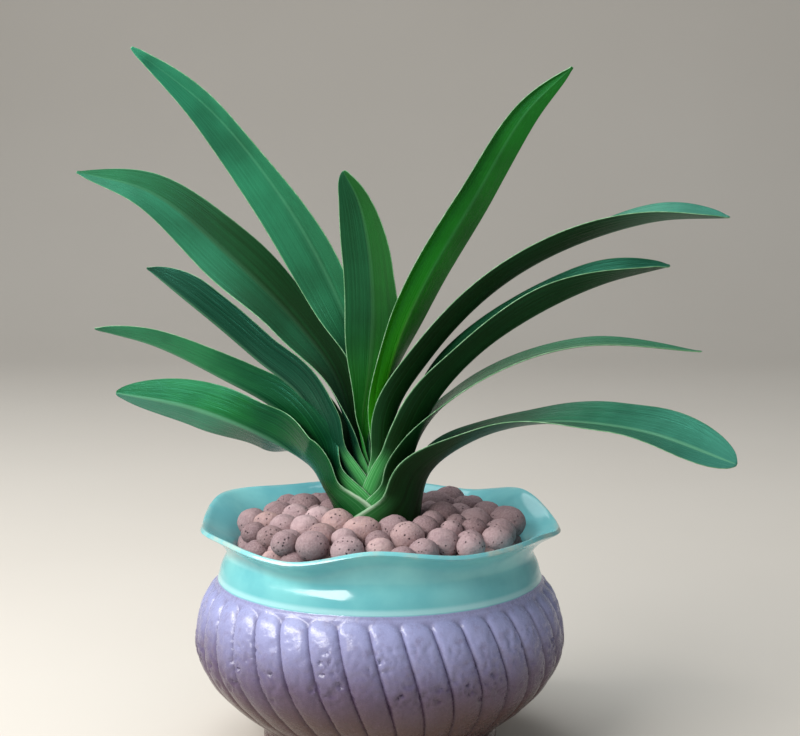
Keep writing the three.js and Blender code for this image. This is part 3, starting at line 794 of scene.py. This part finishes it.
def leaf_tones(leaf, neck, s, x, u, way):
    """What the skins read at a point of the leaf."""
    shades = leaf["near"] if way > 0 else leaf["far"]
    foot_teal, tip_teal = leaf["teal"]
    outermost = leaf["rank"] > 8
    pale = smooth(0.62, 0.84, u) * (1 - smooth(neck - 9, neck + 4, s))
    return {
        "tone_and_light": knots(x, list(zip((0, 0.33, 0.66, 1), shades))),
        "teal": foot_teal + (tip_teal - foot_teal) * x + (way < 0) * leaf.get("far_teal", 0),
        "sheath": pale * (0.35 if outermost else 0.9),
        "membrane": outermost * (1 - smooth(neck - 7, neck + 1, s)) * smooth(0.90, 0.98, u),
        "glow": leaf.get("glow", 0) * smooth(0.50, 0.05, x) * (1 if way > 0 else 0.5),
    }


def make_leaf(name, leaf, skins):
    radius = SHEATH_R + SHEATH_STEP * leaf["rank"]
    foot = Vector((STEM_X, 0, SHEATH_Z)) + SIDE * leaf["side"] * radius
    neck = leaf["clasp"] - SHEATH_Z + NECK
    half_way = Vector((foot.x, foot.y, (SHEATH_Z + leaf["clasp"] + NECK) / 2 - 2))
    path = Path([foot, half_way, *leaf["spine"]])

    bm = bmesh.new()
    bmesh.ops.create_grid(bm, x_segments=LEAF_CELLS, y_segments=LEAF_ROWS, size=1)
    layers = {key: bm.verts.layers.float.new(key)
              for key in ("tone_and_light", "teal", "sheath", "membrane", "glow")}
    weight = bm.verts.layers.deform.new()
    uv = bm.loops.layers.uv.new("blade")
    for face in bm.faces:
        for loop in face.loops:
            loop[uv].uv = ((loop.vert.co.x + 1) / 2, (loop.vert.co.y + 1) / 2)
    for v in bm.verts:
        u, way = abs(v.co.x), (1 if v.co.x > 0 else -1)
        k = (v.co.y + 1) / 2
        s = path.length * (0.45 * k + 0.55 * (1 - (1 - k) ** 1.7))    # rows closer at the tip
        x = clamp((s - neck) / (path.length - neck), 0, 1)
        v.co = leaf_place(leaf, path, neck, s, x, u, way)
        for key, value in leaf_tones(leaf, neck, s, x, u, way).items():
            v[layers[key]] = value
        v[weight][0] = clamp(leaf_thickness(x, u) / LEAF_SHELL, 0, 1)
    piece = finish_piece(name + "_blade", bm, skins, name)
    piece.vertex_groups.new(name="thickness")
    shell = piece.modifiers.new("Thickness", "SOLIDIFY")
    shell.thickness = LEAF_SHELL * MM
    shell.offset = 0
    shell.vertex_group = "thickness"
    shell.material_offset = 1
    shell.material_offset_rim = 2
    round_off = piece.modifiers.new("Rounding", "SUBSURF")
    round_off.levels = round_off.render_levels = 1
    return piece


# ------------------------------------------------------------------ stage
def make_stage():
    """Pale floor that sweeps up into a pale wall."""
    depth, radius, top, width = 2.6, 0.9, 3.2, 8
    bend = [a * 0.1 * math.pi / 2 for a in range(11)]
    profile = [(-3.0, 0)] + [
        (depth - radius + radius * math.sin(a), radius - radius * math.cos(a))
        for a in bend] + [(depth, top)]
    bm = bmesh.new()
    row = [bm.verts.new((-width / 2, y, z)) for y, z in profile]
    edges = [bm.edges.new(pair) for pair in zip(row, row[1:])]
    made = bmesh.ops.extrude_edge_only(bm, edges=edges)["geom"]
    bmesh.ops.translate(
        bm, vec=(width, 0, 0), verts=[g for g in made if isinstance(g, bmesh.types.BMVert)])
    bmesh.ops.recalc_face_normals(bm, faces=bm.faces)
    mesh = bpy.data.meshes.new("floor_sweep")
    bm.to_mesh(mesh)
    bm.free()
    mesh.polygons.foreach_set("use_smooth", [True] * len(mesh.polygons))
    look = Look("floor_paint", roughness=0.8, specular=0.2)
    look.colour(look.mix(look.noise(3, 2), (0.60, 0.55, 0.49), (0.64, 0.59, 0.53)))
    mesh.materials.append(look.material)
    floor = bpy.data.objects.new("floor_sweep", mesh)
    bpy.context.collection.objects.link(floor)


def area_light(name, place, aim_z, width, height, power, colour):
    """A rectangular light, in watts, that faces the plant's middle line at the height aim_z."""
    data = bpy.data.lights.new(name, "AREA")
    data.shape = "RECTANGLE"
    data.size, data.size_y = width, height
    data.energy = power
    data.color = colour
    lamp = bpy.data.objects.new(name, data)
    lamp.location = place
    towards = Vector((0, 0, aim_z)) - Vector(place)
    lamp.rotation_euler = towards.to_track_quat("-Z", "Y").to_euler()
    bpy.context.collection.objects.link(lamp)


def make_lights():
    world = bpy.data.worlds.new("studio")
    world.use_nodes = True
    air = world.node_tree.nodes["Background"]
    air.inputs["Color"].default_value = (0.86, 0.94, 1.0, 1)
    air.inputs["Strength"].default_value = 0.30
    bpy.context.scene.world = world
    area_light("window", (-1.05, -0.66, 1.05), 0.16, 1.7, 0.42, 33, (1, 0.99, 0.97))
    area_light("sky", (-0.40, 0.22, 1.65), 0.2, 1.6, 1.3, 19, (0.92, 0.97, 1))
    area_light("fill", (1.3, -0.7, 0.7), 0.15, 0.9, 0.9, 0.8, (0.95, 0.96, 1))


def make_camera():
    """Stands in front of the plant and looks down on it by a few degrees."""
    data = bpy.data.cameras.new("camera")
    data.sensor_width = 36
    data.lens = LENS
    camera = bpy.data.objects.new("camera", data)
    camera.location = CAMERA_PLACE
    camera.rotation_euler = ((90 - LOOK_DOWN) * RAD, 0, 0)
    bpy.context.collection.objects.link(camera)
    bpy.context.scene.camera = camera


make_pot()
make_pebbles()
leaf_skins = [
    leaf_look("leaf_face", dark=(0.001, 0.020, 0.008), warm=(0.014, 0.235, 0.002),
              cool_and_sheen=(0.064, 0.275, 0.205), roughness=0.19, specular=0.44, stripe=0.7),
    leaf_look("leaf_back", dark=(0.009, 0.022, 0.005), warm=(0.016, 0.215, 0.003),
              cool_and_sheen=(0.034, 0.240, 0.135), roughness=0.31, specular=0.26, stripe=0.15),
    margin_look(),
]
for leaf_name, leaf_shape in LEAVES.items():
    make_leaf(leaf_name, leaf_shape, leaf_skins)
for node, look in (("potting_mix", soil_look()), ("stem", root_look())):
    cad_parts[node].data.materials.clear()
    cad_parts[node].data.materials.append(look)
make_stage()
make_lights()
make_camera()
bpy.context.scene.view_settings.view_transform = "Standard"
